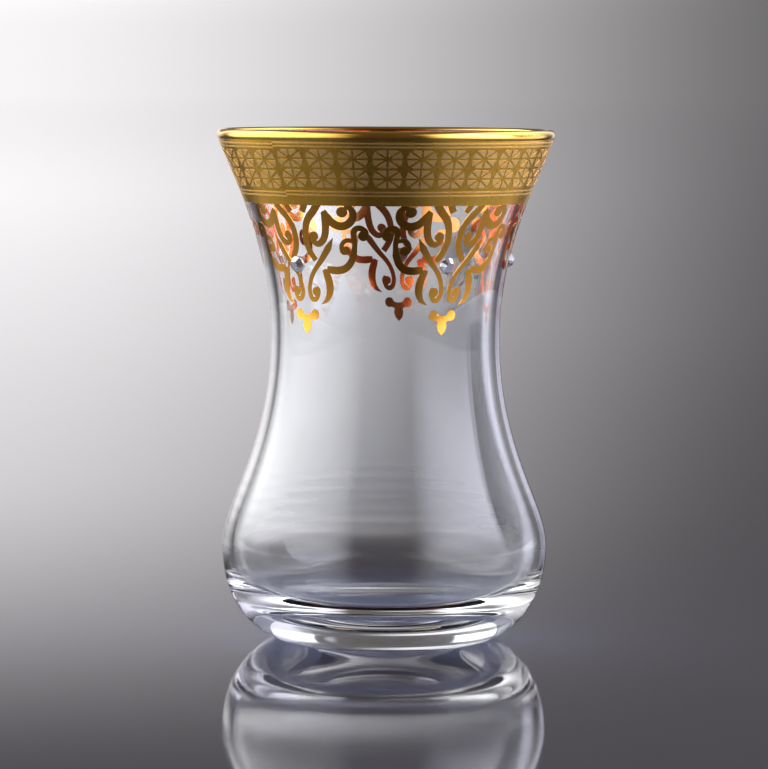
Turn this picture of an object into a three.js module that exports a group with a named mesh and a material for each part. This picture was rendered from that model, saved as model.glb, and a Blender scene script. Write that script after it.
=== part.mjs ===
// A waisted tea glass: one blown-and-pressed glass body with a thick base, and five flat-backed
// crystals glued in a ring on the outside of its flaring mouth.
// Millimetres, +Z up, origin on the table at the centre of the foot, -Y towards the viewer.
import * as THREE from 'three';

// Outside of the glass
const RIM_DIAMETER = 60;
const HEIGHT = 90.9;
const WAIST_DIAMETER = 40.8;
const WAIST_HEIGHT = 54.1;
const BELLY_DIAMETER = 58;
const BELLY_HEIGHT = 16.8;
const FOOT_DIAMETER = 36.4;
const LIP_DIAMETER = 59;
const LIP_HEIGHT = 88.5;
const FLARE_SLOPE = 0.45;

// Reach of each curve's end tangents, which sets how full the curve is
const HEEL_FOOT_REACH = 1.95;
const HEEL_BELLY_REACH = 12.8;
const BODY_BELLY_REACH = 7.5;
const BODY_WAIST_REACH = 20.1;
const FLARE_WAIST_REACH = 11.9;
const FLARE_LIP_REACH = 13.5;

// Fire-polished bead round the rim
const BEAD_RADIUS = 0.95;
const BEAD_OUTER_ANGLE = THREE.MathUtils.degToRad(-45);
const BEAD_INNER_ANGLE = THREE.MathUtils.degToRad(195);

// Inside of the glass
const WAIST_WALL = 1.7;
const BELLY_WALL = 2;
const INNER_BELLY_HEIGHT = 16.8;
const INNER_BELLY_REACH = 7.5;
const BOWL_WALL_REACH = 12;
const BOWL_FLOOR_REACH = 18;
const BASE_THICKNESS = 5.7;

// Underside: a flat ring to stand on round a shallow push-up
const FOOT_RING_WIDTH = 3;
const PUSH_UP_HEIGHT = 0.8;
const PUSH_UP_CENTRE_REACH = 7;
const PUSH_UP_RING_REACH = 4;

// Crystals
const CRYSTAL_COUNT = 5;
const CRYSTAL_DIAMETER = 3;
const CRYSTAL_THICKNESS = 1.1;
const CRYSTAL_GIRDLE = 0.25;
const CRYSTAL_TABLE_DIAMETER = 1.6;
const CRYSTAL_SIDES = 12;
const CRYSTAL_HEIGHT_UP = 67.7;
const CRYSTAL_GLUE_GAP = 0.3;
const FIRST_CRYSTAL_AZIMUTH = THREE.MathUtils.degToRad(-61.2);

// Facets
const TURNED_SIDES = 60;
const STEPS_PER_CURVE = 8;
const SURFACE_SEARCH_STEPS = 40;

const point = (radius, height) => new THREE.Vector2(radius, height);

// A curve of the profile from one point to another, each with a control point of its own
function curve(start, startControl, endControl, end) {
  return new THREE.CubicBezierCurve(start, startControl, endControl, end);
}

const footEdge = point(FOOT_DIAMETER / 2, 0);
const footRingInside = point(FOOT_DIAMETER / 2 - FOOT_RING_WIDTH, 0);
const belly = point(BELLY_DIAMETER / 2, BELLY_HEIGHT);
const waist = point(WAIST_DIAMETER / 2, WAIST_HEIGHT);
const lip = point(LIP_DIAMETER / 2, LIP_HEIGHT);
const beadCentre = point(RIM_DIAMETER / 2 - BEAD_RADIUS, HEIGHT - BEAD_RADIUS);
const innerLip = point(
  beadCentre.x + BEAD_RADIUS * Math.cos(BEAD_INNER_ANGLE),
  beadCentre.y + BEAD_RADIUS * Math.sin(BEAD_INNER_ANGLE),
);
const innerWaist = point(waist.x - WAIST_WALL, WAIST_HEIGHT);
const innerBelly = point(belly.x - BELLY_WALL, INNER_BELLY_HEIGHT);

// Outer flare from the waist to the lip, which also carries the crystals
const flare = curve(
  waist,
  point(waist.x, WAIST_HEIGHT + FLARE_WAIST_REACH),
  point(lip.x - FLARE_SLOPE * FLARE_LIP_REACH, LIP_HEIGHT - FLARE_LIP_REACH),
  lip,
);

// Half section of the glass, from the axis underneath, up the outside, over the rim and down to the axis
function glassProfile() {
  const profile = new THREE.Path();
  profile.moveTo(0, PUSH_UP_HEIGHT);
  profile.bezierCurveTo(
    PUSH_UP_CENTRE_REACH, PUSH_UP_HEIGHT,
    footRingInside.x - PUSH_UP_RING_REACH, 0,
    footRingInside.x, 0,
  );
  profile.lineTo(footEdge.x, footEdge.y);
  profile.bezierCurveTo(
    footEdge.x + HEEL_FOOT_REACH, 0,
    belly.x, BELLY_HEIGHT - HEEL_BELLY_REACH,
    belly.x, belly.y,
  );
  profile.bezierCurveTo(
    belly.x, BELLY_HEIGHT + BODY_BELLY_REACH,
    waist.x, WAIST_HEIGHT - BODY_WAIST_REACH,
    waist.x, waist.y,
  );
  profile.bezierCurveTo(flare.v1.x, flare.v1.y, flare.v2.x, flare.v2.y, lip.x, lip.y);
  profile.absarc(beadCentre.x, beadCentre.y, BEAD_RADIUS, BEAD_OUTER_ANGLE, BEAD_INNER_ANGLE, false);
  profile.bezierCurveTo(
    innerLip.x - FLARE_SLOPE * FLARE_LIP_REACH, innerLip.y - FLARE_LIP_REACH,
    innerWaist.x, WAIST_HEIGHT + FLARE_WAIST_REACH,
    innerWaist.x, innerWaist.y,
  );
  profile.bezierCurveTo(
    innerWaist.x, WAIST_HEIGHT - BODY_WAIST_REACH,
    innerBelly.x, INNER_BELLY_HEIGHT + INNER_BELLY_REACH,
    innerBelly.x, innerBelly.y,
  );
  profile.bezierCurveTo(
    innerBelly.x, INNER_BELLY_HEIGHT - BOWL_WALL_REACH,
    BOWL_FLOOR_REACH, BASE_THICKNESS,
    0, BASE_THICKNESS,
  );
  return profile.getPoints(STEPS_PER_CURVE);
}

// The glass stands on its foot: the lathe turns about Y, so the mesh is tipped upright
function glassBody() {
  const geometry = new THREE.LatheGeometry(glassProfile(), TURNED_SIDES);
  const material = new THREE.MeshStandardMaterial({
    color: 0xe4e9ee,
    roughness: 0.03,
    metalness: 0,
    transparent: true,
    opacity: 0.35,
  });
  const mesh = new THREE.Mesh(geometry, material);
  mesh.name = 'glass_body';
  mesh.rotation.x = Math.PI / 2;
  return mesh;
}

// Where the flare is at a height: its radius there, and how far its face leans down from level
function flareSurface(height) {
  let low = 0;
  let high = 1;
  for (let step = 0; step < SURFACE_SEARCH_STEPS; step += 1) {
    const middle = (low + high) / 2;
    if (flare.getPoint(middle).y < height) low = middle;
    else high = middle;
  }
  const tangent = flare.getTangent(low);
  return { radius: flare.getPoint(low).x, lean: Math.atan2(tangent.x, tangent.y) };
}

// A flat-backed stone: level back, upright girdle, sloping crown and level table
function crystalGeometry() {
  const outline = [
    point(0, 0),
    point(CRYSTAL_DIAMETER / 2, 0),
    point(CRYSTAL_DIAMETER / 2, CRYSTAL_GIRDLE),
    point(CRYSTAL_TABLE_DIAMETER / 2, CRYSTAL_THICKNESS),
    point(0, CRYSTAL_THICKNESS),
  ];
  return new THREE.LatheGeometry(outline, CRYSTAL_SIDES);
}

// One stone on its seat: the seat's group is turned to the stone's place round the glass
function crystalSeat(index) {
  const { radius, lean } = flareSurface(CRYSTAL_HEIGHT_UP);
  const material = new THREE.MeshStandardMaterial({ color: 0xf2f4f8, roughness: 0.05, metalness: 0.2 });
  const stone = new THREE.Mesh(crystalGeometry(), material);
  stone.name = `crystal_${index + 1}`;
  stone.position.set(
    radius + CRYSTAL_GLUE_GAP * Math.cos(lean),
    0,
    CRYSTAL_HEIGHT_UP - CRYSTAL_GLUE_GAP * Math.sin(lean),
  );
  stone.rotation.set(0, lean, -Math.PI / 2);
  const seat = new THREE.Group();
  seat.rotation.z = FIRST_CRYSTAL_AZIMUTH + (index * 2 * Math.PI) / CRYSTAL_COUNT;
  seat.add(stone);
  return seat;
}

const teaGlass = new THREE.Group();
teaGlass.add(glassBody());
for (let index = 0; index < CRYSTAL_COUNT; index += 1) teaGlass.add(crystalSeat(index));

export default teaGlass;
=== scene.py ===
"""Looks of a waisted tea glass with a gilded rim, a rosette band, scrollwork pendants and glued crystals.

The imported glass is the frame. Every visible piece is modelled here at its real size, in the frame's axes:
+Z up, -Y towards the viewer. Angles round the glass are counted from -Y towards +X. Sizes of the glass are in
millimetres, the studio's are in metres, and angles are in degrees, unless a docstring says otherwise.
"""
import logging
import math
from collections.abc import Callable, Iterator
from contextlib import contextmanager
from dataclasses import dataclass
from enum import Enum

import bpy
import numpy as np
from mathutils import Matrix, Vector


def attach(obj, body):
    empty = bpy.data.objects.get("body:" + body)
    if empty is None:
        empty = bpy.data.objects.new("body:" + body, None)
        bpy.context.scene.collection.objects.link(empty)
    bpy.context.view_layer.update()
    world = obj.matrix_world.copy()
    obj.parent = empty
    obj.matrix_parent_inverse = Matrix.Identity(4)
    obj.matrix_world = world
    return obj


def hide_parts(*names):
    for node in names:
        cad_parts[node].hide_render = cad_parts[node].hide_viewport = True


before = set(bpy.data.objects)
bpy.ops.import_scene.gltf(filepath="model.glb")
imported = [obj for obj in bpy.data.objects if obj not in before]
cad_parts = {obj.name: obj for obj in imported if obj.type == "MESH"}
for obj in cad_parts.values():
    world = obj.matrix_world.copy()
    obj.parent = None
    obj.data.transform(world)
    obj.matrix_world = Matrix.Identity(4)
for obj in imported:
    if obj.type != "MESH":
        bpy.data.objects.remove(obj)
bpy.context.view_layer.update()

BODY = "root"
LOG = logging.getLogger("tea_glass")

# A millimetre in metres.
MM = 0.001
# Steps round the axis of everything that is turned.
TURN_STEPS = 240
# Distance in metres below which two points are one.
WELD = 1e-7
# Least share of a face's normal along a direction for the face to look that way.
FACE_ON = 0.5
# Power of a square metre of area lamp that shows as radiance 1.
WATTS_PER_RADIANCE = 4.0

Point = tuple[float, float]
Pair = tuple[float, float]
Place = tuple[float, float, float]
Colour = tuple[float, float, float, float]
Inputs = dict[str | int, object]


class Slot(Enum):
    """The record's material slots."""

    GLASS = "clear_glass"
    CRYSTAL = "crystal"
    GILDING = "gilding"


def linear(srgb: str) -> Colour:
    """Turn an sRGB hex value into linear colour with full alpha, by the sRGB standard's own curve.

    Args:
        srgb: A hash sign and six hex digits.

    Returns:
        Red, green, blue and alpha.
    """
    channels = [int(srgb[at:at + 2], 16) / 255 for at in (1, 3, 5)]
    values = [c / 12.92 if c <= 0.04045 else ((c + 0.055) / 1.055) ** 2.4 for c in channels]
    return (*values, 1.0)


def feed(tree: bpy.types.NodeTree, node: bpy.types.Node, inputs: Inputs) -> None:
    """Feed some of a node's inputs.

    Args:
        tree: The node tree that holds the node.
        node: The node to feed.
        inputs: Input name or index, to a value or to the output socket that feeds it.
    """
    for key, value in inputs.items():
        if isinstance(value, bpy.types.NodeSocket):
            tree.links.new(value, node.inputs[key])
        else:
            node.inputs[key].default_value = value


def add_node(tree: bpy.types.NodeTree, kind: str, inputs: Inputs | None = None,
             **settings: object) -> bpy.types.Node:
    """Add one node with its settings and feed its inputs.

    Args:
        tree: The node tree to add to.
        kind: Blender's name for the kind of node.
        inputs: Its inputs, as for feed.
        settings: The node's own options, such as its operation.

    Returns:
        The new node.
    """
    node = tree.nodes.new(kind)
    for name, value in settings.items():
        setattr(node, name, value)
    feed(tree, node, inputs or {})
    return node


def per_metre(size_mm: float) -> float:
    """Scale of a noise pattern whose features are this many millimetres wide."""
    return 1.0 / (size_mm * MM)


def bezier(start: Point, leaving: Point, arriving: Point, end: Point, steps: int) -> list[Point]:
    """Points along a cubic curve, from just after its start to its end.

    Args:
        start: First point.
        leaving: Control point of the start.
        arriving: Control point of the end.
        end: Last point.
        steps: Number of points to give.

    Returns:
        The points, in order.
    """
    points = []
    for step in range(1, steps + 1):
        t = step / steps
        weights = ((1 - t) ** 3, 3 * t * (1 - t) ** 2, 3 * t * t * (1 - t), t ** 3)
        corners = (start, leaving, arriving, end)
        points.append(tuple(sum(w * c[axis] for w, c in zip(weights, corners)) for axis in (0, 1)))
    return points


def offset_path(path: list[Point], distance: float) -> list[Point]:
    """Move a half section's path sideways, to its right as it is walked.

    Args:
        path: Points as radius and height.
        distance: How far, in the same units. Outwards on a path that runs up the outside.

    Returns:
        The moved points.
    """
    moved = []
    for index, (radius, height) in enumerate(path):
        before = path[max(index - 1, 0)]
        after = path[min(index + 1, len(path) - 1)]
        run, rise = after[0] - before[0], after[1] - before[1]
        length = math.hypot(run, rise)
        moved.append((radius + distance * rise / length, height - distance * run / length))
    return moved


def deselect_all() -> None:
    """Leave edit mode if need be and deselect every object."""
    if bpy.context.object and bpy.context.object.mode != "OBJECT":
        bpy.ops.object.mode_set(mode="OBJECT")
    bpy.ops.object.select_all(action="DESELECT")


def pick(piece: bpy.types.Object) -> None:
    """Select one piece alone and make it active.

    Args:
        piece: The object to select.
    """
    deselect_all()
    piece.select_set(True)
    bpy.context.view_layer.objects.active = piece


@contextmanager
def editing(piece: bpy.types.Object) -> Iterator[None]:
    """Hold a piece in edit mode, with all of it selected at first.

    Args:
        piece: The mesh object to edit.

    Yields:
        Once, while the piece is in edit mode.
    """
    pick(piece)
    bpy.ops.object.mode_set(mode="EDIT")
    bpy.ops.mesh.select_all(action="SELECT")
    yield
    bpy.ops.object.mode_set(mode="OBJECT")


def select_faces(piece: bpy.types.Object, wanted: Callable[[bpy.types.MeshPolygon], bool]) -> None:
    """Select the faces of a piece in edit mode that a test accepts.

    Args:
        piece: The mesh object, in edit mode.
        wanted: Function of a face that says whether to select it.
    """
    bpy.ops.mesh.select_all(action="DESELECT")
    bpy.ops.object.mode_set(mode="OBJECT")
    for face in piece.data.polygons:
        face.select = wanted(face)
    bpy.ops.object.mode_set(mode="EDIT")


def cut_all(place: Vector, normal: Vector, **options: bool) -> None:
    """Cut all of the piece that is in edit mode along a plane, with bisect's own options."""
    bpy.ops.mesh.select_all(action="SELECT")
    bpy.ops.mesh.bisect(plane_co=place, plane_no=normal, **options)


def name_piece(piece: bpy.types.Object, name: str) -> bpy.types.Object:
    """Give a piece and its mesh their name.

    Args:
        piece: The mesh object.
        name: Its new name.

    Returns:
        The same piece.
    """
    piece.name = name
    piece.data.name = name
    return piece


def copy_piece(model: bpy.types.Object, name: str) -> bpy.types.Object:
    """Copy a piece together with its mesh.

    Args:
        model: The piece to copy.
        name: Name of the copy.

    Returns:
        The copy.
    """
    piece = model.copy()
    piece.data = model.data.copy()
    bpy.context.collection.objects.link(piece)
    return name_piece(piece, name)


def apply_modifier(piece: bpy.types.Object, kind: str, **settings: object) -> None:
    """Add a modifier to a piece and apply it at once.

    Args:
        piece: The mesh object.
        kind: Blender's name for the kind of modifier.
        settings: The modifier's options.
    """
    pick(piece)
    modifier = piece.modifiers.new(kind.title(), kind)
    for option, value in settings.items():
        setattr(modifier, option, value)
    bpy.ops.object.modifier_apply(modifier=modifier.name)


def repeat(piece: bpy.types.Object, count: int, step: Place) -> None:
    """Repeat a piece in a row, as one mesh, at this step in metres."""
    apply_modifier(piece, "ARRAY", count=count, use_relative_offset=False, use_constant_offset=True,
                   constant_offset_displace=step)


def thicken(piece: bpy.types.Object, sunk: float, proud: float) -> None:
    """Give a flat piece a body.

    Args:
        piece: The flat mesh object.
        sunk: How far the body goes below the piece's plane, in millimetres.
        proud: How far it goes above.
    """
    apply_modifier(piece, "SOLIDIFY", thickness=(sunk + proud) * MM, offset=0.0, use_even_offset=False)
    with editing(piece):
        bpy.ops.transform.translate(value=(0, 0, (proud - sunk) * MM / 2))
        bpy.ops.mesh.normals_make_consistent(inside=False)


def turned(name: str, outline: list[Point], closed: bool) -> bpy.types.Object:
    """Turn a half section once round the axis of the glass.

    Args:
        name: Name of the new piece.
        outline: Radius and height of each point, in millimetres.
        closed: True to join the last point to the first. Otherwise both lie on the axis.

    Returns:
        The piece, closed all round, with its faces outwards.
    """
    deselect_all()
    bpy.ops.mesh.primitive_plane_add(size=MM)
    piece = name_piece(bpy.context.object, name)
    walk = outline + outline[:1] if closed else outline
    with editing(piece):
        bpy.ops.mesh.merge(type="CENTER")
        bpy.ops.transform.translate(value=(walk[0][0] * MM, 0, walk[0][1] * MM))
        for (radius, height), (next_radius, next_height) in zip(walk, walk[1:]):
            step = ((next_radius - radius) * MM, 0, (next_height - height) * MM)
            bpy.ops.mesh.extrude_vertices_move(TRANSFORM_OT_translate={"value": step})
        bpy.ops.mesh.select_all(action="SELECT")
        bpy.ops.mesh.spin(steps=TURN_STEPS, angle=math.tau, center=(0, 0, 0), axis=(0, 0, 1))
        bpy.ops.mesh.select_all(action="SELECT")
        bpy.ops.mesh.remove_doubles(threshold=WELD)
        bpy.ops.mesh.normals_make_consistent(inside=False)
    return piece


def smooth(piece: bpy.types.Object, sharpest: float) -> None:
    """Shade a piece smooth, with edges sharper than this many degrees left crisp."""
    pick(piece)
    bpy.ops.object.shade_smooth_by_angle(angle=math.radians(sharpest))


def hand_over(piece: bpy.types.Object, slot: Slot, *nodes: str) -> None:
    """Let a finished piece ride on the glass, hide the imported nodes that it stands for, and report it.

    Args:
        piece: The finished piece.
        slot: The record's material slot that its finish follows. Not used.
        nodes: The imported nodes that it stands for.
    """
    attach(piece, BODY)
    if nodes:
        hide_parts(*nodes)
    LOG.info("%s: %d faces", piece.name, len(piece.data.polygons))


@dataclass(frozen=True)
class Finish:
    """A surface finish, made as a material the first time it is asked for."""

    name: str

    def material(self) -> bpy.types.Material:
        """Give the finish's material.

        Returns:
            The material, made now if this is the first call.
        """
        found = bpy.data.materials.get(self.name)
        if found:
            return found
        made = bpy.data.materials.new(self.name)
        made.use_nodes = True
        self.dress(made.node_tree, made.node_tree.nodes["Principled BSDF"])
        return made

    def dress(self, tree: bpy.types.NodeTree, shader: bpy.types.Node) -> None:
        """Set the shader's values and add the nodes that feed it.

        Args:
            tree: The material's node tree.
            shader: Its Principled shader.
        """
        raise NotImplementedError


def coat(piece: bpy.types.Object, *finishes: Finish) -> None:
    """Give a piece its finishes, in the order of its material slots."""
    for finish in finishes:
        piece.data.materials.append(finish.material())


@dataclass(frozen=True)
class ClearGlass(Finish):
    """Soda-lime glass, pressed and blown in a mould and fire-polished.

    To the eye: water-clear and bright at the edges, with faint level ripples where the mould chilled it.
    """

    name: str = "fire_polished_soda_lime_glass"
    deep: str = "#F8FBFD"
    pale: str = "#FCFDFE"
    ior: float = 1.52
    rough: float = 0.0
    ripple_mm: float = 5.0
    ripple_stretch: float = 0.12
    ripple_depth: float = 0.0012
    cord_mm: float = 14.0

    def dress(self, tree: bpy.types.NodeTree, shader: bpy.types.Node) -> None:
        """Make it clear, with level ripples and a tint that drifts a little.

        Args:
            tree: The material's node tree.
            shader: Its Principled shader.
        """
        place = add_node(tree, "ShaderNodeTexCoord").outputs["Object"]
        level = add_node(tree, "ShaderNodeMapping", {
            "Vector": place, "Scale": (self.ripple_stretch, self.ripple_stretch, 1.0)})
        ripple = add_node(tree, "ShaderNodeTexNoise", {
            "Vector": level.outputs[0], "Scale": per_metre(self.ripple_mm), "Detail": 1.0})
        bump = add_node(tree, "ShaderNodeBump", {
            "Height": ripple.outputs["Fac"], "Strength": 1.0, "Distance": self.ripple_depth * MM})
        cord = add_node(tree, "ShaderNodeTexNoise", {"Vector": place, "Scale": per_metre(self.cord_mm)})
        colour = add_node(tree, "ShaderNodeMix", {
            "Factor": cord.outputs["Fac"], "A": linear(self.deep), "B": linear(self.pale)}, data_type="RGBA")
        feed(tree, shader, {
            "Base Color": colour.outputs["Result"], "Roughness": self.rough, "IOR": self.ior,
            "Transmission Weight": 1.0, "Normal": bump.outputs[0]})


@dataclass(frozen=True)
class GoldFilm(Finish):
    """Liquid gold, brushed or printed on the glass and fired to a metal film.

    To the eye: a mirror with a warm body colour, a little uneven in depth and in polish. A real print's grain
    is finer than a tenth of a millimetre, and is drawn coarse enough to show.
    """

    name: str = "fired_bright_gold_film"
    deep: str = "#F3AE42"
    pale: str = "#F8BA4E"
    smoothest: float = 0.07
    roughest: float = 0.15
    cloud_mm: float = 6.0
    cloud_span: Pair = (0.3, 0.7)
    grain_mm: float = 0.35
    grain_depth: float = 0.0006

    def dress(self, tree: bpy.types.NodeTree, shader: bpy.types.Node) -> None:
        """Cloud its colour and polish, and lay a print grain over it.

        Args:
            tree: The material's node tree.
            shader: Its Principled shader.
        """
        place = add_node(tree, "ShaderNodeTexCoord").outputs["Object"]
        cloud = add_node(tree, "ShaderNodeTexNoise", {
            "Vector": place, "Scale": per_metre(self.cloud_mm), "Detail": 3.0})
        grain = add_node(tree, "ShaderNodeTexNoise", {
            "Vector": place, "Scale": per_metre(self.grain_mm), "Detail": 2.0})
        colour = add_node(tree, "ShaderNodeMix", {
            "Factor": cloud.outputs["Fac"], "A": linear(self.deep), "B": linear(self.pale)}, data_type="RGBA")
        rough = add_node(tree, "ShaderNodeMapRange", {
            "Value": cloud.outputs["Fac"], "From Min": self.cloud_span[0], "From Max": self.cloud_span[1],
            "To Min": self.smoothest, "To Max": self.roughest})
        bump = add_node(tree, "ShaderNodeBump", {
            "Height": grain.outputs["Fac"], "Strength": 1.0, "Distance": self.grain_depth * MM})
        feed(tree, shader, {
            "Base Color": colour.outputs["Result"], "Metallic": 1.0, "Roughness": rough.outputs[0],
            "Normal": bump.outputs[0]})


BRIGHT_GOLD = GoldFilm()
# The broad band is brushed on thicker and fires to a satin face.
SATIN_GOLD = GoldFilm("satin_band_gold", deep="#F4BC46", pale="#FAC956", smoothest=0.25, roughest=0.31)
# The rim's burnished gold, painted paler than the band's so that its highlight comes out whitish: partly the
# rim's own gold, partly painted highlight.
RIM_GOLD_WITH_PAINTED_HIGHLIGHT = GoldFilm("burnished_rim_gold_painted_pale_highlight", deep="#F2C25A", pale="#F6CC68", smoothest=0.12, roughest=0.17,
                    grain_depth=0.0003)
# Matt gold is printed over an etched flux, so it scatters light and looks paler than the film round it.
MATT_GOLD = GoldFilm("matt_printed_gold", deep="#F6CB78", pale="#FBD68C", smoothest=0.42, roughest=0.48,
                     grain_mm=0.2, grain_depth=0.003)
# The film's own underside, met through the glass: copper-orange, and smooth as the glass it was fired on.
GOLD_UNDERSIDE = GoldFilm("gold_film_through_glass", deep="#EC8C3E", pale="#F29A4C", smoothest=0.06,
                          roughest=0.10, grain_depth=0.0004)


@dataclass(frozen=True)
class CutCrystal(Finish):
    """Machine-cut lead-free crystal on a silvered back, polished on every facet.

    To the eye: bright silver, with hard white and dark facets, since the foil sends most of the light back.
    Its polishing marks are drawn coarse enough to show.
    """

    name: str = "polished_cut_crystal"
    tint: str = "#F6F7FB"
    ior: float = 1.58
    silvered: float = 0.6
    marks_mm: float = 0.6
    marks_span: Pair = (0.4, 0.8)
    roughest: float = 0.02

    def dress(self, tree: bpy.types.NodeTree, shader: bpy.types.Node) -> None:
        """Make it partly clear and partly mirror, with faint polishing marks.

        Args:
            tree: The material's node tree.
            shader: Its Principled shader.
        """
        place = add_node(tree, "ShaderNodeTexCoord").outputs["Object"]
        marks = add_node(tree, "ShaderNodeTexNoise", {"Vector": place, "Scale": per_metre(self.marks_mm)})
        rough = add_node(tree, "ShaderNodeMapRange", {
            "Value": marks.outputs["Fac"], "From Min": self.marks_span[0], "From Max": self.marks_span[1],
            "To Max": self.roughest})
        feed(tree, shader, {
            "Base Color": linear(self.tint), "Metallic": self.silvered, "Roughness": rough.outputs[0],
            "IOR": self.ior, "Transmission Weight": 1.0})


@dataclass(frozen=True)
class SilverFoil(Finish):
    """Vacuum-silvered back of a stone, lacquered.

    To the eye: a bright mirror, a little soft, that throws light back out through the facets.
    """

    name: str = "silvered_foil_back"
    deep: str = "#DADCE2"
    pale: str = "#F4F5F8"
    rough: float = 0.12
    cloud_mm: float = 0.8

    def dress(self, tree: bpy.types.NodeTree, shader: bpy.types.Node) -> None:
        """Make it a mirror with a cloudy silver colour.

        Args:
            tree: The material's node tree.
            shader: Its Principled shader.
        """
        place = add_node(tree, "ShaderNodeTexCoord").outputs["Object"]
        cloud = add_node(tree, "ShaderNodeTexNoise", {"Vector": place, "Scale": per_metre(self.cloud_mm)})
        colour = add_node(tree, "ShaderNodeMix", {
            "Factor": cloud.outputs["Fac"], "A": linear(self.deep), "B": linear(self.pale)}, data_type="RGBA")
        feed(tree, shader, {
            "Base Color": colour.outputs["Result"], "Metallic": 1.0, "Roughness": self.rough})


@dataclass(frozen=True)
class PaleAcrylic(Finish):
    """Pale cast acrylic sheet under the glass, with a polished face.

    To the eye: plain pale violet-grey, with a clear reflection that grows towards the horizon.
    The sheet fades out between near and far, in metres from the glass.
    """

    name: str = "pale_polished_acrylic"
    deep: str = "#9297B7"
    pale: str = "#999EBF"
    sheen: str = "#F3F0FF"
    cloud_mm: float = 220.0
    smoothest: float = 0.03
    roughest: float = 0.05
    near: float = 2.5
    far: float = 15.0

    def dress(self, tree: bpy.types.NodeTree, shader: bpy.types.Node) -> None:
        """Give it one colour and one polish, both hardly clouded, and let it fade out.

        Args:
            tree: The material's node tree.
            shader: Its Principled shader.
        """
        place = add_node(tree, "ShaderNodeTexCoord").outputs["Object"]
        cloud = add_node(tree, "ShaderNodeTexNoise", {"Vector": place, "Scale": per_metre(self.cloud_mm)})
        colour = add_node(tree, "ShaderNodeMix", {
            "Factor": cloud.outputs["Fac"], "A": linear(self.deep), "B": linear(self.pale)}, data_type="RGBA")
        rough = add_node(tree, "ShaderNodeMapRange", {
            "Value": cloud.outputs["Fac"], "To Min": self.smoothest, "To Max": self.roughest})
        reach = add_node(tree, "ShaderNodeVectorMath", {0: place}, operation="LENGTH")
        fade = add_node(tree, "ShaderNodeMapRange", {
            "Value": reach.outputs["Value"], "From Min": self.far, "From Max": self.near},
            interpolation_type="SMOOTHSTEP")
        feed(tree, shader, {
            "Base Color": colour.outputs["Result"], "Roughness": rough.outputs[0], "Alpha": fade.outputs[0],
            "Specular Tint": linear(self.sheen)})


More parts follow.
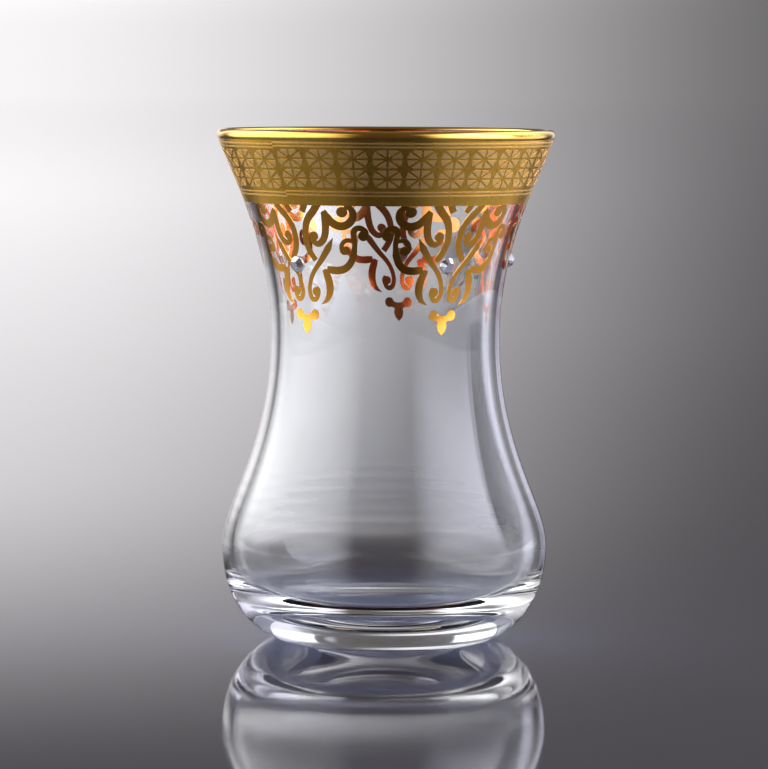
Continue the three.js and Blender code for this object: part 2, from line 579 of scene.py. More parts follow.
@dataclass(frozen=True)
class GlassSection:
    """Half section of the glass, in millimetres: the curves that it is turned from.

    A point is a radius and a height. A reach is how far the control points of a curve stand from its ends,
    which sets how full the curve is, and the bead's angles are degrees up from outwards.
    """

    rim_radius: float = 30.0
    height: float = 90.9
    waist: Point = (20.4, 54.1)
    belly: Point = (29.0, 16.8)
    foot_radius: float = 18.2
    foot_ring: float = 3.0
    lip: Point = (29.5, 88.5)
    flare_slope: float = 0.45
    heel_reach: Pair = (1.95, 12.8)
    body_reach: Pair = (7.5, 20.1)
    flare_reach: Pair = (11.9, 13.5)
    bead_radius: float = 0.95
    bead_from: float = -45.0
    bead_to: float = 195.0
    bead_steps: int = 28
    waist_wall: float = 1.7
    inner_belly: Point = (27.0, 16.8)
    inner_belly_reach: float = 7.5
    bowl_reach: Pair = (12.0, 18.0)
    base_thickness: float = 5.7
    push_up: float = 0.8
    push_up_reach: Pair = (7.0, 4.0)
    ripple_height: float = 0.003
    ripple_spacing: float = 2.3
    ripple_middle: float = 24.0
    ripple_spread: float = 6.0
    steps: int = 44

    def bead(self, first: float, last: float) -> list[Point]:
        """Points on an arc round the rim's bead.

        Args:
            first: Angle where the arc starts.
            last: Angle where it ends.

        Returns:
            Radius and height of each point.
        """
        radius = self.bead_radius
        middle, level = self.rim_radius - radius, self.height - radius
        shares = [step / self.bead_steps for step in range(self.bead_steps + 1)]
        angles = [math.radians(first + (last - first) * share) for share in shares]
        return [(middle + radius * math.cos(a), level + radius * math.sin(a)) for a in angles]

    def flare(self) -> list[Point]:
        """Outside from the waist up to the lip.

        Returns:
            Radius and height of each point.
        """
        low, high = self.waist, self.lip
        leave = (low[0], low[1] + self.flare_reach[0])
        arrive = (high[0] - self.flare_slope * self.flare_reach[1], high[1] - self.flare_reach[1])
        return [low] + bezier(low, leave, arrive, high, self.steps)

    def underside(self) -> list[Point]:
        """Push-up from the axis out to the foot ring's inside edge.

        Returns:
            Radius and height of each point.
        """
        start, end = (0.0, self.push_up), (self.foot_radius - self.foot_ring, 0.0)
        leave = (self.push_up_reach[0], self.push_up)
        return [start] + bezier(start, leave, (end[0] - self.push_up_reach[1], 0.0), end, self.steps // 2)

    def outside(self) -> list[Point]:
        """Foot ring, heel and body up to just below the waist.

        Returns:
            Radius and height of each point.
        """
        foot = (self.foot_radius, 0.0)
        heel = bezier(foot, (foot[0] + self.heel_reach[0], 0.0),
                      (self.belly[0], self.belly[1] - self.heel_reach[1]), self.belly, self.steps)
        body = bezier(self.belly, (self.belly[0], self.belly[1] + self.body_reach[0]),
                      (self.waist[0], self.waist[1] - self.body_reach[1]), self.waist, self.steps)
        return [foot] + heel + body[:-1]

    def inside(self) -> list[Point]:
        """Inner wall from the bead down to the middle of the inner floor, with faint level ripples.

        Returns:
            Radius and height of each point.
        """
        lip = self.bead(self.bead_from, self.bead_to)[-1]
        waist = (self.waist[0] - self.waist_wall, self.waist[1])
        belly = self.inner_belly
        flare = bezier(lip, (lip[0] - self.flare_slope * self.flare_reach[1], lip[1] - self.flare_reach[1]),
                       (waist[0], waist[1] + self.flare_reach[0]), waist, self.steps)
        # The rippled stretch takes twice the steps.
        body = bezier(waist, (waist[0], waist[1] - self.body_reach[1]),
                      (belly[0], belly[1] + self.inner_belly_reach), belly, 2 * self.steps)
        bowl = bezier(belly, (belly[0], belly[1] - self.bowl_reach[0]),
                      (self.bowl_reach[1], self.base_thickness), (0.0, self.base_thickness), self.steps)
        return flare + [self.rippled(point) for point in body] + bowl

    def rippled(self, point: Point) -> Point:
        """Move a point of the inner wall in or out by the chill ripple at its height.

        Args:
            point: Radius and height.

        Returns:
            The moved point.
        """
        away = (point[1] - self.ripple_middle) / self.ripple_spread
        wave = math.sin(math.tau * point[1] / self.ripple_spacing)
        return (point[0] + self.ripple_height * wave * math.exp(-away * away), point[1])

    def outline(self) -> list[Point]:
        """Whole half section, from the axis underneath round to the axis inside."""
        bead = self.bead(self.bead_from, self.bead_to)
        return self.underside() + self.outside() + self.flare() + bead + self.inside()


@dataclass(frozen=True)
class FlareSkin:
    """The outer surface of the flare, as a place to lay flat ornament on."""

    section: GlassSection

    def radius_and_lean(self, heights: np.ndarray) -> tuple[np.ndarray, np.ndarray]:
        """Radius and lean of the surface at some heights.

        Args:
            heights: Heights in millimetres.

        Returns:
            Radii in millimetres, and leans as radians that the face looks down.
        """
        path = np.array(self.section.flare() + self.section.bead(self.section.bead_from, 0.0)[:1])
        leans = np.arctan2(np.gradient(path[:, 0]), np.gradient(path[:, 1]))
        return np.interp(heights, path[:, 1], path[:, 0]), np.interp(heights, path[:, 1], leans)

    def place(self, angles: np.ndarray, heights: np.ndarray,
              proud: np.ndarray) -> tuple[np.ndarray, np.ndarray]:
        """Points on or near the surface, and the way the surface faces there.

        Args:
            angles: Degrees round the glass.
            heights: Heights in millimetres.
            proud: Millimetres out from the surface.

        Returns:
            Points in metres, and unit normals.
        """
        radii, leans = self.radius_and_lean(heights)
        turn = np.radians(angles)
        level = np.cos(leans)
        normals = np.stack([np.sin(turn) * level, -np.cos(turn) * level, -np.sin(leans)], axis=1)
        foot = np.stack([np.sin(turn) * radii, -np.cos(turn) * radii, heights], axis=1)
        return (foot + proud[:, None] * normals) * MM, normals


@dataclass(frozen=True)
class Lay:
    """How a flat ornament is laid round the glass.

    Attributes:
        angle: Degrees round the glass where the ornament's own X is zero.
        girth_radius: Radius, in millimetres, where its flat widths come out true.
        lean: Degrees that it drifts sideways for each millimetre above lean_from.
        lean_from: Height where it stands at its angle.
        fall: Millimetres that it falls in one whole turn, half of them on each side of its middle.
    """

    angle: float
    girth_radius: float
    lean: float = 0.0
    lean_from: float = 58.0
    fall: float = 0.0

    def angles(self, along: np.ndarray, heights: np.ndarray) -> np.ndarray:
        """Degrees round the glass for flat places in millimetres."""
        return self.angle + np.degrees(along / self.girth_radius) + self.lean * (heights - self.lean_from)

    def heights(self, along: np.ndarray, heights: np.ndarray) -> np.ndarray:
        """Heights on the glass for flat places in millimetres."""
        return heights - self.fall * along / (math.tau * self.girth_radius)


def wrap(piece: bpy.types.Object, skin: FlareSkin, lay: Lay) -> None:
    """Lay a flat piece round the flare, with the surface's own smooth normals on its face and back.

    Args:
        piece: Flat mesh with X along the girth, Y up the glass and Z out of it.
        skin: The surface to lay it on.
        lay: Where and how to lay it.
    """
    mesh = piece.data
    flat = np.empty(len(mesh.vertices) * 3, dtype=np.float32)
    mesh.vertices.foreach_get("co", flat)
    along, up, proud = flat.reshape(-1, 3).astype(float).T / MM
    facing = [face.normal.z for face in mesh.polygons]
    points, normals = skin.place(lay.angles(along, up), lay.heights(along, up), proud)
    mesh.vertices.foreach_set("co", points.astype(np.float32).ravel())
    mesh.update()
    shading = [Vector()] * len(mesh.loops)
    for face, turn in zip(mesh.polygons, facing):
        face.use_smooth = True
        for loop in face.loop_indices:
            if abs(turn) > FACE_ON:
                along_skin = Vector(normals[mesh.loops[loop].vertex_index])
                shading[loop] = along_skin * math.copysign(1.0, turn)
            else:
                shading[loop] = face.normal.copy()
    mesh.normals_split_custom_set(shading)


@dataclass
class TeaGlass:
    """The glass itself."""

    section: GlassSection
    crease: float = 60.0

    def build(self) -> None:
        """Turn the glass from its half section."""
        piece = turned("glass_vessel", self.section.outline(), closed=False)
        smooth(piece, self.crease)
        coat(piece, ClearGlass())
        hand_over(piece, Slot.GLASS, "glass_body")


@dataclass
class GiltBand:
    """Gold film round the mouth: the broad band, and the burnished rim above it.

    Attributes:
        section: The glass that it is fired on.
        bottom: Height of the band's lower edge.
        rise: How far the film stands above the glass.
        sink: How far it goes into it, so that no gap shows.
        rim_lap: Angle on the bead where the rim's gold ends, inside the mouth.
        crease: Sharpest edge that is shaded smooth.
    """

    section: GlassSection
    bottom: float = 78.1
    rise: float = 0.05
    sink: float = 0.04
    rim_lap: float = 150.0
    crease: float = 40.0

    def build(self) -> None:
        """Turn the band and the rim, each as a closed skin that is sunk a little into the glass."""
        self.skin("gilt_band", self.band_path(), SATIN_GOLD)
        self.skin("gilt_rim", self.section.bead(self.section.bead_from, self.rim_lap), RIM_GOLD_WITH_PAINTED_HIGHLIGHT)

    def band_path(self) -> list[Point]:
        """The glass's outside from the band's lower edge up to the bead.

        Returns:
            Radius and height of each point.
        """
        flare = self.section.flare()
        first = next(index for index, point in enumerate(flare) if point[1] > self.bottom)
        low, high = flare[first - 1], flare[first]
        share = (self.bottom - low[1]) / (high[1] - low[1])
        edge = (low[0] + share * (high[0] - low[0]), self.bottom)
        return [edge] + flare[first:] + self.section.bead(self.section.bead_from, 0.0)[:1]

    def skin(self, name: str, path: list[Point], outer: Finish) -> None:
        """Turn one skin of film that follows a path on the glass.

        Args:
            name: Name of the piece.
            path: Radius and height of points on the glass, walked with the air on the right.
            outer: Finish of the side that meets the air.
        """
        front, back = offset_path(path, self.rise), offset_path(path, -self.sink)
        piece = turned(name, front + back[::-1], closed=True)
        smooth(piece, self.crease)
        coat(piece, outer, GOLD_UNDERSIDE)
        places = np.array(path)
        outward = np.array(offset_path(path, 1.0)) - places
        for face in piece.data.polygons:
            radius = math.hypot(face.center.x, face.center.y)
            nearest = np.argmin(np.hypot(places[:, 0] - radius / MM, places[:, 1] - face.center.z / MM))
            level = (face.normal.x * face.center.x + face.normal.y * face.center.y) / radius
            faces_out = outward[nearest][0] * level + outward[nearest][1] * face.normal.z
            face.material_index = int(faces_out < -FACE_ON)
        hand_over(piece, Slot.GILDING)


@dataclass
class RosetteFrieze:
    """Printed matt ornament on the band: two rows of eight-petalled rosettes between pairs of pinstripes.

    The print starts and ends at a seam, and runs a little downhill, so that its ends miss each other.
    """

    skin: FlareSkin
    seam: float = -41.5
    fall: float = 0.3
    girth_radius: float = 27.7
    count: int = 30
    rosette_size: Pair = (5.0, 3.05)
    corner: float = 1.12
    spoke: float = 0.36
    cut_every: float = 0.7
    spoke_angles: tuple[float, ...] = (0.0, 33.0, 90.0, 147.0)
    rows: int = 2
    low_row: float = 82.65
    row_pitch: float = 3.45
    stripe_width: float = 0.24
    low_stripe: float = 79.75
    stripe_gap: float = 0.62
    pair_gap: float = 8.4
    stripe_steps: int = 240
    sunk: float = 0.03
    proud: float = 0.085

    def build(self) -> None:
        """Print the rosettes and the pinstripes."""
        self.lay_on(self.rosettes(), "band_rosettes")
        self.lay_on(self.pinstripes(), "band_pinstripes")

    @property
    def girth(self) -> float:
        """Length of the print, in metres."""
        return math.tau * self.girth_radius * MM

    def rosettes(self) -> bpy.types.Object:
        """Cut one rosette from a plate with clipped corners, and repeat it along both rows.

        The petals are cut into strips as well, so that they bend round the glass.

        Returns:
            The flat print.
        """
        deselect_all()
        pitch = self.girth / self.count
        wide, tall = self.rosette_size
        half_spoke = self.spoke / 2 * MM
        acrosses = [Vector((-math.sin(a), math.cos(a), 0)) for a in map(math.radians, self.spoke_angles)]
        along = Vector((1, 0, 0))
        bpy.ops.mesh.primitive_plane_add(size=1)
        piece = bpy.context.object
        with editing(piece):
            bpy.ops.transform.resize(value=(wide * MM, tall * MM, 1))
            bpy.ops.mesh.bevel(offset=self.corner * MM, affect="VERTICES", segments=2)
            for across in acrosses:
                for side in (-half_spoke, half_spoke):
                    cut_all(across * side, across)
            select_faces(piece, lambda face: any(abs(face.center.dot(a)) < half_spoke for a in acrosses))
            bpy.ops.mesh.delete(type="FACE")
            for place in np.arange(-wide / 2, wide / 2, self.cut_every):
                cut_all(along * float(place) * MM, along)
            bpy.ops.mesh.select_all(action="SELECT")
            bpy.ops.transform.translate(value=(pitch / 2 - self.girth / 2, self.low_row * MM, 0))
        repeat(piece, self.count, (pitch, 0, 0))
        repeat(piece, self.rows, (0, self.row_pitch * MM, 0))
        return piece

    def pinstripes(self) -> bpy.types.Object:
        """Draw one long stripe and repeat it in two pairs.

        Returns:
            The flat print.
        """
        deselect_all()
        bpy.ops.mesh.primitive_grid_add(x_subdivisions=self.stripe_steps, y_subdivisions=1, size=1)
        piece = bpy.context.object
        with editing(piece):
            bpy.ops.transform.resize(value=(self.girth, self.stripe_width * MM, 1))
            bpy.ops.transform.translate(value=(0, self.low_stripe * MM, 0))
        repeat(piece, 2, (0, self.stripe_gap * MM, 0))
        repeat(piece, 2, (0, self.pair_gap * MM, 0))
        return piece

    def lay_on(self, piece: bpy.types.Object, name: str) -> None:
        """Give a flat print its body, lay it round the band and dress it.

        Args:
            piece: The flat print.
            name: Name of the finished piece.
        """
        thicken(piece, self.sunk, self.proud)
        name_piece(piece, name)
        wrap(piece, self.skin, Lay(self.seam + 180.0, self.girth_radius, fall=self.fall))
        coat(piece, MATT_GOLD)
        hand_over(piece, Slot.GILDING)


@dataclass(frozen=True)
class Stroke:
    """One stroke of the scrollwork's right half, with the round end that it may curl into.

    Attributes:
        path: Degrees from the pendant's axis and height in millimetres, point by point.
        widths: Width in millimetres at each point.
        ball: Centre and radius of the round end.
    """

    path: tuple[Point, ...]
    widths: tuple[float, ...]
    ball: tuple[Point, float] | None = None


HEART = Stroke(
    ((10.9, 78.5), (8.4, 77.1), (5.9, 76.0), (4.3, 75.0), (3.2, 73.6), (2.8, 72.2), (3.3, 70.9), (4.6, 69.8),
     (6.9, 68.5)),
    (1.3, 1.3, 1.3, 1.25, 1.2, 1.2, 1.2, 1.15, 1.1))
INNER_BRACKET = Stroke(
    ((13.1, 77.0), (13.4, 75.4), (13.2, 74.0), (12.5, 72.8), (11.2, 71.9), (9.3, 71.4), (7.4, 71.55),
     (6.1, 72.3), (6.3, 73.2)),
    (1.0, 1.3, 1.3, 1.25, 1.2, 1.1, 1.0, 0.85, 0.7), ((7.3, 72.75), 0.8))
OUTER_BRACKET = Stroke(
    ((13.0, 77.2), (14.6, 76.1), (16.9, 75.05), (19.8, 74.55), (22.6, 74.75), (24.7, 75.45), (25.6, 76.4),
     (25.2, 77.3), (23.7, 77.85), (22.3, 77.6)),
    (0.9, 1.35, 1.45, 1.4, 1.4, 1.35, 1.25, 1.1, 0.9, 0.8), ((21.0, 77.0), 0.92))
LONG_S = Stroke(
    ((16.3, 72.5), (13.7, 70.7), (11.4, 69.4), (9.1, 68.2), (6.8, 67.2), (4.8, 66.2), (3.2, 65.0),
     (2.3, 63.8), (2.3, 62.6), (3.5, 61.75), (5.2, 61.6), (6.8, 62.3), (7.3, 63.3), (6.4, 63.8)),
    (0.06, 1.25, 1.15, 1.0, 0.9, 0.85, 0.85, 0.85, 0.9, 0.95, 0.9, 0.85, 0.75, 0.6), ((5.7, 63.0), 0.78))
OUTER_SCROLL = Stroke(
    ((12.6, 67.0), (15.0, 66.85), (18.0, 66.8), (21.0, 67.05), (23.6, 67.85), (25.3, 69.2), (26.0, 70.7),
     (26.1, 72.0), (25.7, 72.9), (25.9, 73.7), (27.2, 74.2), (29.2, 74.15), (30.9, 73.6), (31.2, 72.8)),
    (1.0, 1.35, 1.35, 1.35, 1.3, 1.2, 0.95, 0.9, 1.0, 1.1, 1.0, 0.95, 0.9, 0.8), ((29.9, 72.9), 0.9))
SCROLL_CURL = Stroke(
    ((25.9, 71.9), (24.2, 72.05), (22.3, 72.05), (20.7, 71.55), (20.1, 70.7), (20.8, 69.95), (22.0, 69.9)),
    (0.7, 0.75, 0.8, 0.8, 0.8, 0.75, 0.7), ((22.3, 70.3), 0.75))
BLADE = Stroke(
    ((11.0, 66.9), (12.2, 66.0), (13.2, 64.9), (13.6, 63.7), (13.2, 62.6), (11.8, 61.6), (8.7, 60.75)),
    (0.9, 1.4, 1.5, 1.5, 1.3, 0.9, 0.06))
STUB = Stroke(((4.9, 78.5), (4.0, 77.7), (2.9, 76.95)), (1.15, 1.15, 1.1))
FINIAL_SIDE = Stroke(((4.6, 58.9), (2.5, 58.5), (0.0, 58.1)), (1.2, 1.15, 1.3), ((4.9, 58.95), 0.92))
FINIAL_DROP = Stroke(
    ((0.0, 58.9), (0.0, 58.0), (0.0, 57.1), (0.0, 56.3), (0.0, 55.5)), (0.9, 1.6, 2.05, 1.6, 0.06))


@dataclass
class ScrollPendant:
    """The gilt scrollwork that hangs from the band, drawn once and laid on the glass five times."""

    skin: FlareSkin
    paired: tuple[Stroke, ...] = (
        HEART, INNER_BRACKET, OUTER_BRACKET, LONG_S, OUTER_SCROLL, SCROLL_CURL, BLADE, STUB, FINIAL_SIDE)
    single: tuple[Stroke, ...] = (FINIAL_DROP,)
    angles: tuple[float, ...] = (28.7, 100.7, 172.7, 245.0, 318.7)
    lean: float = 0.13
    girth_radius: float = 22.5
    sunk: float = 0.04
    proud: float = 0.045
    ball_sides: int = 32
    stroke_steps: int = 8
    flat_within: float = 1.0
    cut_every: float = 1.2
    cut_across: float = 1.6

    def build(self) -> None:
        """Draw the motif flat, then lay a copy at each place."""
        motif = self.motif()
        for number, angle in enumerate(self.angles, start=1):
            piece = copy_piece(motif, f"scroll_pendant_{number}")
            wrap(piece, self.skin, Lay(angle, self.girth_radius, self.lean))
            hand_over(piece, Slot.GILDING)
        bpy.data.objects.remove(motif)

    def flat(self, point: Point, side: int) -> Point:
        """Place of a stroke's point in the flat drawing, in metres."""
        return side * math.radians(point[0]) * self.girth_radius * MM, point[1] * MM

    def motif(self) -> bpy.types.Object:
        """Draw every stroke as a flat solid, join them and cut the face small enough to bend.

        Returns:
            The flat motif, with a finish for its front and one for its back.
        """
        solids = []
        for stroke in self.paired:
            solids += self.solids(stroke, 1) + self.solids(stroke, -1)
        for stroke in self.single:
            solids += self.solids(stroke, 1)
        piece = self.united(solids)
        coat(piece, BRIGHT_GOLD, GOLD_UNDERSIDE)
        with editing(piece):
            bpy.ops.mesh.dissolve_limited(angle_limit=math.radians(self.flat_within))
            self.cut_small(piece)
            bpy.ops.mesh.dissolve_degenerate(threshold=WELD)
            select_faces(piece, lambda face: (
                abs(face.normal.z) > FACE_ON and face.center.z * face.normal.z < 0))
            bpy.ops.mesh.flip_normals()
        for face in piece.data.polygons:
            face.material_index = int(face.normal.z < -FACE_ON)
        return piece

    def solids(self, stroke: Stroke, side: int) -> list[bpy.types.Object]:
        """Make a stroke's ribbon, and its round end if it has one.

        Args:
            stroke: The stroke to draw.
            side: 1 for the right half, -1 for its mirror image.

        Returns:
            The flat solids.
        """
        made = [self.ribbon(stroke, side)]
        if stroke.ball:
            (x, y), radius = self.flat(stroke.ball[0], side), stroke.ball[1]
            deselect_all()
            bpy.ops.mesh.primitive_circle_add(
                vertices=self.ball_sides, radius=radius * MM, location=(x, y, 0), fill_type="NGON")
            bpy.ops.object.transform_apply()
            made.append(bpy.context.object)
        for solid in made:
            thicken(solid, self.sunk, self.proud)
        return made

    def ribbon(self, stroke: Stroke, side: int) -> bpy.types.Object:
        """Sweep a flat nib along a stroke's path.

        Args:
            stroke: The stroke to draw.
            side: 1 for the right half, -1 for its mirror image.

        Returns:
            The ribbon, as a flat mesh.
        """
        # The nib is a millimetre wide, so each point's radius on the path is its width in millimetres.
        nib = self.pen("nib", [(-MM / 2, 0.0), (MM / 2, 0.0)], (1.0, 1.0), "VECTOR")
        path = self.pen("stroke", [self.flat(point, side) for point in stroke.path], stroke.widths, "AUTO")
        path.data.bevel_mode = "OBJECT"
        path.data.bevel_object = nib
        pick(path)
        bpy.ops.object.convert(target="MESH")
        ribbon = bpy.context.object
        bpy.data.objects.remove(nib)
        return ribbon

    def pen(self, name: str, places: list[Point], widths: tuple[float, ...],
            handles: str) -> bpy.types.Object:
        """Draw a curve through some places.

        Args:
            name: Name of the curve.
            places: Points of the flat drawing, in metres.
            widths: Relative width at each point.
            handles: Kind of the points' handles.

        Returns:
            The curve object.
        """
        curve = bpy.data.curves.new(name, "CURVE")
        curve.dimensions = "3D"
        curve.twist_mode = "Z_UP"
        curve.resolution_u = self.stroke_steps
        spline = curve.splines.new("BEZIER")
        spline.bezier_points.add(len(places) - 1)
        for knot, place, width in zip(spline.bezier_points, places, widths):
            knot.co = (*place, 0.0)
            knot.radius = width
            knot.handle_left_type = knot.handle_right_type = handles
        drawn = bpy.data.objects.new(name, curve)
        bpy.context.collection.objects.link(drawn)
        return drawn

    def united(self, solids: list[bpy.types.Object]) -> bpy.types.Object:
        """Unite flat solids into one, without inner walls.

        Args:
            solids: Overlapping closed solids.

        Returns:
            The first solid, with the others joined to it.
        """
        first, others = solids[0], solids[1:]
        group = bpy.data.collections.new("strokes")
        for solid in others:
            group.objects.link(solid)
        apply_modifier(first, "BOOLEAN", operation="UNION", operand_type="COLLECTION", collection=group,
                       solver="EXACT", use_self=True)
        bpy.data.collections.remove(group)
        for solid in others:
            bpy.data.objects.remove(solid)
        return first

    def cut_small(self, piece: bpy.types.Object) -> None:
        """Slice a flat piece both ways, so that each face is narrow enough to bend round the glass.

        Args:
            piece: The flat mesh object, in edit mode.
        """
        corners = np.array([vertex.co for vertex in piece.data.vertices])
        for axis, step in ((0, self.cut_every * MM), (1, self.cut_across * MM)):
            low, high = corners[:, axis].min(), corners[:, axis].max()
            normal = Vector((axis == 0, axis == 1, 0))
            for place in np.arange(low + step / 2, high, step):
                cut_all(normal * float(place), normal)
        bpy.ops.mesh.select_all(action="SELECT")
        bpy.ops.mesh.quads_convert_to_tris()


@dataclass
class CrystalRing:
    """Five flat-backed crystals, each on its glue pad in the heart of a pendant."""

    skin: FlareSkin
    count: int = 5
    diameter: float = 3.0
    thickness: float = 1.1
    girdle: float = 0.25
    table: float = 1.6
    sides: int = 12
    stars: int = 6
    star_height: float = 1.04
    star_tilt: float = 26.0
    pad_inset: float = 0.2
    pad: float = 0.33
    height_up: float = 67.7
    gap: float = 0.3
    first_angle: float = 28.8

    def build(self) -> None:
        """Cut one crystal and set a copy of it at each place."""
        stone = self.stone()
        for index in range(self.count):
            piece = copy_piece(stone, f"set_crystal_{index + 1}")
            piece.data.transform(self.seat(self.first_angle + 360.0 * index / self.count))
            hand_over(piece, Slot.CRYSTAL, f"crystal_{index + 1}")
        bpy.data.objects.remove(stone)

    def seat(self, angle: float) -> Matrix:
        """Turn and move that set a stone on the glass.

        Args:
            angle: Degrees round the glass.

        Returns:
            The stone's place, with its +Z along the surface's normal.
        """
        points, normals = self.skin.place(np.array([angle]), np.array([self.height_up]), np.array([self.gap]))
        turn = Vector(normals[0]).to_track_quat("Z", "Y").to_matrix().to_4x4()
        return Matrix.Translation(points[0]) @ turn

    def stone(self) -> bpy.types.Object:
        """Cut a stone's crown and table from a short cylinder, and draw its glue pad out of its back.

        Returns:
            The stone, with its back at the origin and its table up.
        """
        deselect_all()
        bpy.ops.mesh.primitive_cylinder_add(
            vertices=self.sides, radius=self.diameter / 2 * MM, depth=self.thickness * MM,
            location=(0, 0, self.thickness / 2 * MM))
        bpy.ops.object.transform_apply()
        piece = bpy.context.object
        flat = self.diameter / 2 * math.cos(math.pi / self.sides)
        crown = math.atan2(self.thickness - self.girdle, (self.diameter - self.table) / 2)
        star = math.radians(self.star_tilt)
        with editing(piece):
            for step in range(self.sides):
                self.facet((step + 0.5) * math.tau / self.sides, crown, flat, self.girdle)
            for step in range(self.stars):
                self.facet(step * math.tau / self.stars, star, self.table / 2, self.star_height)
            select_faces(piece, lambda face: face.normal.z < -FACE_ON)
            bpy.ops.mesh.inset(thickness=self.pad_inset * MM)
            bpy.ops.mesh.extrude_region_move(TRANSFORM_OT_translate={"value": (0, 0, -self.pad * MM)})
        coat(piece, CutCrystal(), SilverFoil())
        for face in piece.data.polygons:
            face.material_index = int(face.center.z < WELD)
        return piece

    def facet(self, turn: float, tilt: float, radius: float, height: float) -> None:
        """Grind one facet on the stone in edit mode.

        Args:
            turn: Radians round the stone.
            tilt: Radians that the facet lies from level.
            radius: Distance of a point of the facet from the stone's axis, in millimetres.
            height: Height of that point, in millimetres.
        """
        across = Vector((math.cos(turn), math.sin(turn), 0))
        normal = across * math.sin(tilt) + Vector((0, 0, math.cos(tilt)))
        place = across * radius * MM + Vector((0, 0, height * MM))
        cut_all(place, normal, use_fill=True, clear_outer=True)


@dataclass(frozen=True)
class SoftPanel:
    """A soft box or a white card: a rectangle that glows evenly, or from one end to the other.

    Attributes:
        name: Name of the lamp.
        centre: Its middle, in metres.
        aim: A point that it faces.
        size: Width and height, in metres.
        glow: Radiance at the ends of its width, where 1 shows as white.
        ends: Share of its width over which each end fades out.
        edges: Share of its height over which its lower and its upper edge fade out.
        tint: Colour as sRGB hex.
        through_glass: Whether it shows through the glass, and not only in reflections.
    """

    name: str
    centre: Place
    aim: Place
    size: Pair
    glow: Pair
    ends: Pair
    edges: Pair
    tint: str = "#FFFFFF"
    through_glass: bool = True

    def build(self) -> None:
        """Hang the lamp and set its glow."""
        deselect_all()
        bpy.ops.object.light_add(type="AREA", location=self.centre)
        lamp = bpy.context.object
        lamp.name = self.name
        facing = Vector(self.aim) - Vector(self.centre)
        lamp.rotation_euler = facing.to_track_quat("-Z", "Y").to_euler()
        data = lamp.data
        data.shape = "RECTANGLE"
        data.size, data.size_y = self.size
        data.color = linear(self.tint)[:3]
        data.energy = WATTS_PER_RADIANCE * self.size[0] * self.size[1]
        data.use_nodes = True
        self.shade(data.node_tree)
        lamp.visible_camera = False
        lamp.visible_diffuse = False
        lamp.visible_transmission = self.through_glass

    def shade(self, tree: bpy.types.NodeTree) -> None:
        """Run the glow from end to end and fade it out towards the edges.

        Args:
            tree: The lamp's node tree.
        """
        place = add_node(tree, "ShaderNodeNewGeometry").outputs["Parametric"]
        across = add_node(tree, "ShaderNodeSeparateXYZ", {0: place})
        strength = add_node(tree, "ShaderNodeMapRange", {
            "Value": across.outputs["X"], "To Min": self.glow[0], "To Max": self.glow[1]}).outputs[0]
        for axis, soft in (("X", self.ends), ("Y", self.edges)):
            for start, inset in ((0.0, soft[0]), (1.0, -soft[1])):
                fade = add_node(tree, "ShaderNodeMapRange", {
                    "Value": across.outputs[axis], "From Min": start, "From Max": start + inset},
                    interpolation_type="SMOOTHSTEP")
                strength = add_node(tree, "ShaderNodeMath", {0: strength, 1: fade.outputs[0]},
                                    operation="MULTIPLY").outputs[0]
        feed(tree, tree.nodes["Emission"], {"Strength": strength})


@dataclass(frozen=True)
class Fade:
    """One edge of the backdrop's glow.

    Attributes:
        dark: Degrees where the glow is least.
        lit: Degrees where it is full.
        least: Share of it that is left at its least.
    """

    dark: float
    lit: float
    least: float = 0.0


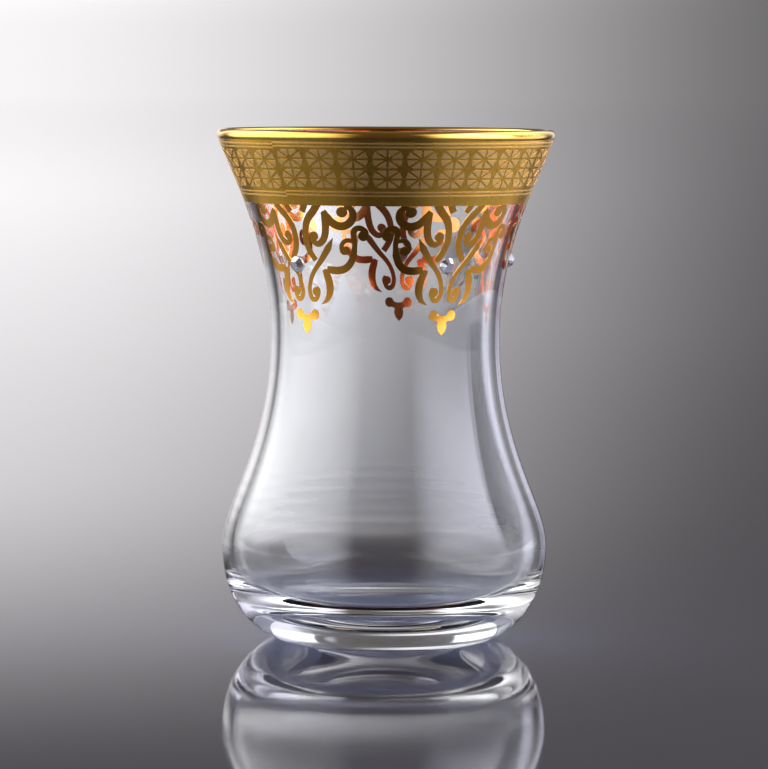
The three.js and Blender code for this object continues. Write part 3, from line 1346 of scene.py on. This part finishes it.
@dataclass
class Studio:
    """A wide pale floor, soft panels, a backdrop that glows at the left, and the camera at the photo's place.

    Directions to the backdrop are in degrees: azimuth from +Y towards +X, and elevation.

    Attributes:
        floor_radius: Radius of the floor, in metres.
        floor_rings: Number of rings that it is divided into inside its edge.
        ring_ratio: Radius of each ring as a share of the next one out.
        air: Colour of the backdrop behind the glass.
        room: Colour of the room in front of it.
        room_turn: How far a direction points along +Y where the room ends, and where the backdrop starts.
        dim: Radiance of the room, and of the backdrop outside its glow.
        bright: Radiance that the glow adds.
        lean: Degrees that the glow's right edge moves left for each degree beyond lean_above.
        lean_above: Elevation, up or down, where that starts.
        ends_right: The glow's right edge.
        ends_left: Its left edge.
        ends_above: Its upper edge.
        dips_level: Its dimmer stretch at the horizon.
        camera_place: Place of the camera.
        camera_tilt: Angle that it looks down.
        camera_roll: Angle that it is turned about its own line of sight.
        camera_lens: Its focal length, in millimetres.
        camera_sensor: Height of its sensor, in millimetres.
        camera_clip: Nearest distance that it sees.
        bounces: Times that light may bounce or pass through glass.
        glossy_bounces: Times that it may be mirrored.
        light_clamp: Brightest indirect light that one sample may bring.
        panels: The soft panels and cards.
    """

    floor_radius: float = 16.0
    floor_rings: int = 4
    ring_ratio: float = 0.2
    air: str = "#EDEAEC"
    room: str = "#F2CBA6"
    room_turn: Pair = (-0.5, 0.5)
    dim: Pair = (0.09, 0.165)
    bright: float = 1.24
    lean: float = 0.3
    lean_above: float = 3.8
    ends_right: Fade = Fade(7.2, -6.6)
    ends_left: Fade = Fade(-38.0, -24.0)
    ends_above: Fade = Fade(10.8, 5.9)
    dips_level: Fade = Fade(0.5, 2.0, 0.78)
    camera_place: Place = (-0.00016, -0.6868, 0.10145)
    camera_tilt: float = 4.664
    camera_roll: float = 0.28
    camera_lens: float = 180.73
    camera_sensor: float = 36.0
    camera_clip: float = 0.01
    bounces: int = 24
    glossy_bounces: int = 12
    light_clamp: float = 8.0
    panels: tuple[SoftPanel, ...] = (
        SoftPanel("left_low_panel", centre=(-0.33, -0.305, 0.27), aim=(0.0, -0.305, 0.27),
                  size=(1.29, 0.58), glow=(2.3, 0.9), ends=(0.12, 0.7), edges=(0.3, 0.3)),
        SoftPanel("left_foot_card", centre=(-0.34, -0.305, -0.003), aim=(0.0, -0.305, -0.003),
                  size=(1.29, 0.314), glow=(1.3, 1.2), ends=(0.12, 0.7), edges=(0.01, 0.55),
                  through_glass=False),
        SoftPanel("left_high_panel", centre=(-0.32, 0.33, 0.42), aim=(0.0, 0.33, 0.42),
                  size=(0.80, 0.80), glow=(2.6, 0.6), ends=(0.2, 0.2), edges=(0.55, 0.3)),
        SoftPanel("right_low_panel", centre=(0.28, -0.15, 0.27), aim=(0.0, -0.15, 0.27),
                  size=(0.98, 0.58), glow=(4.2, 4.4), ends=(0.75, 0.28), edges=(0.3, 0.3), tint="#EFEEFF"),
        SoftPanel("right_foot_card", centre=(0.29, -0.15, -0.003), aim=(0.0, -0.15, -0.003),
                  size=(0.98, 0.314), glow=(1.7, 1.6), ends=(0.6, 0.15), edges=(0.01, 0.55), tint="#EFEEFF",
                  through_glass=False),
        SoftPanel("right_high_panel", centre=(0.28, 0.34, 0.42), aim=(0.0, 0.34, 0.42),
                  size=(0.66, 0.80), glow=(0.7, 1.9), ends=(0.2, 0.2), edges=(0.55, 0.3)),
        SoftPanel("right_back_strip", centre=(0.308, 0.846, 0.25), aim=(0.0, 0.0, 0.25),
                  size=(0.24, 0.90), glow=(0.8, 0.8), ends=(0.3, 0.3), edges=(0.1, 0.2), tint="#E6E4FA"),
        SoftPanel("top_left_panel", centre=(-0.55, -0.30, 0.80), aim=(-0.55, -0.30, 0.0),
                  size=(0.70, 1.4), glow=(1.0, 1.0), ends=(0.4, 0.4), edges=(0.4, 0.4)),
        SoftPanel("top_right_panel", centre=(0.55, -0.30, 0.80), aim=(0.55, -0.30, 0.0),
                  size=(0.70, 1.4), glow=(1.0, 1.0), ends=(0.4, 0.4), edges=(0.4, 0.4)),
    )

    def build(self) -> None:
        """Set up the floor, the panels, the backdrop, the camera and the render's own options."""
        self.floor()
        for panel in self.panels:
            panel.build()
        self.backdrop()
        self.camera()
        self.options()

    def floor(self) -> None:
        """Lay the floor as a wide disc, ringed closer together near the glass."""
        steps = range(self.floor_rings, -1, -1)
        rings = [self.floor_radius / MM * self.ring_ratio ** step for step in steps]
        piece = turned("studio_floor", [(radius, 0.0) for radius in [0.0] + rings], closed=False)
        coat(piece, PaleAcrylic())

    def backdrop(self) -> None:
        """Shade the air all round dimly, with one soft glow low behind the glass on the left."""
        world = bpy.data.worlds.new("studio_backdrop")
        world.use_nodes = True
        tree = world.node_tree
        way = add_node(tree, "ShaderNodeSeparateXYZ", {
            0: add_node(tree, "ShaderNodeTexCoord").outputs["Generated"]}).outputs
        azimuth = add_node(tree, "ShaderNodeMath", {0: way["X"], 1: way["Y"]}, operation="ARCTAN2").outputs[0]
        elevation = add_node(tree, "ShaderNodeMath", {0: way["Z"]}, operation="ARCSINE").outputs[0]
        steepness = add_node(tree, "ShaderNodeMath", {0: elevation}, operation="ABSOLUTE").outputs[0]
        beyond = add_node(tree, "ShaderNodeMath", {0: steepness, 1: math.radians(self.lean_above)},
                          operation="SUBTRACT").outputs[0]
        tilt = add_node(tree, "ShaderNodeMath", {0: beyond, 1: 0.0}, operation="MAXIMUM").outputs[0]
        leaning = add_node(tree, "ShaderNodeMath", {0: tilt, 1: self.lean, 2: azimuth},
                           operation="MULTIPLY_ADD").outputs[0]
        glow = self.bright
        for angle, edge in ((leaning, self.ends_right), (azimuth, self.ends_left),
                            (elevation, self.ends_above), (steepness, self.dips_level)):
            fade = add_node(tree, "ShaderNodeMapRange", {
                "Value": angle, "From Min": math.radians(edge.dark), "From Max": math.radians(edge.lit),
                "To Min": edge.least}, interpolation_type="SMOOTHSTEP").outputs[0]
            glow = add_node(tree, "ShaderNodeMath", {0: fade, 1: glow}, operation="MULTIPLY").outputs[0]
        ahead = add_node(tree, "ShaderNodeMapRange", {
            "Value": way["Y"], "From Min": self.room_turn[0], "From Max": self.room_turn[1]}).outputs[0]
        low = add_node(tree, "ShaderNodeMapRange", {
            "Value": ahead, "To Min": self.dim[0], "To Max": self.dim[1]}).outputs[0]
        level = add_node(tree, "ShaderNodeMath", {0: glow, 1: low}, operation="ADD").outputs[0]
        colour = add_node(tree, "ShaderNodeMix", {
            "Factor": ahead, "A": linear(self.room), "B": linear(self.air)}, data_type="RGBA")
        feed(tree, tree.nodes["Background"], {"Color": colour.outputs["Result"], "Strength": level})
        bpy.context.scene.world = world

    def camera(self) -> None:
        """Place the camera where the photograph was taken from."""
        bpy.ops.object.camera_add(location=self.camera_place)
        camera = bpy.context.object
        tilt = Matrix.Rotation(math.radians(90 - self.camera_tilt), 3, "X")
        camera.rotation_euler = (tilt @ Matrix.Rotation(math.radians(self.camera_roll), 3, "Z")).to_euler()
        camera.data.sensor_fit = "VERTICAL"
        camera.data.sensor_height = self.camera_sensor
        camera.data.lens = self.camera_lens
        camera.data.clip_start = self.camera_clip
        bpy.context.scene.camera = camera

    def options(self) -> None:
        """Let light pass through many layers of glass, and show colours as they are."""
        scene = bpy.context.scene
        scene.view_settings.view_transform = "Standard"
        scene.cycles.max_bounces = self.bounces
        scene.cycles.transmission_bounces = self.bounces
        scene.cycles.glossy_bounces = self.glossy_bounces
        scene.cycles.sample_clamp_indirect = self.light_clamp


def main() -> None:
    """Build the glass, its gilding and its crystals, then the studio."""
    logging.basicConfig(level=logging.INFO, format="%(name)s %(message)s")
    section = GlassSection()
    skin = FlareSkin(section)
    TeaGlass(section).build()
    GiltBand(section).build()
    RosetteFrieze(skin).build()
    ScrollPendant(skin).build()
    CrystalRing(skin).build()
    Studio().build()


if __name__ == "__main__":
    main()
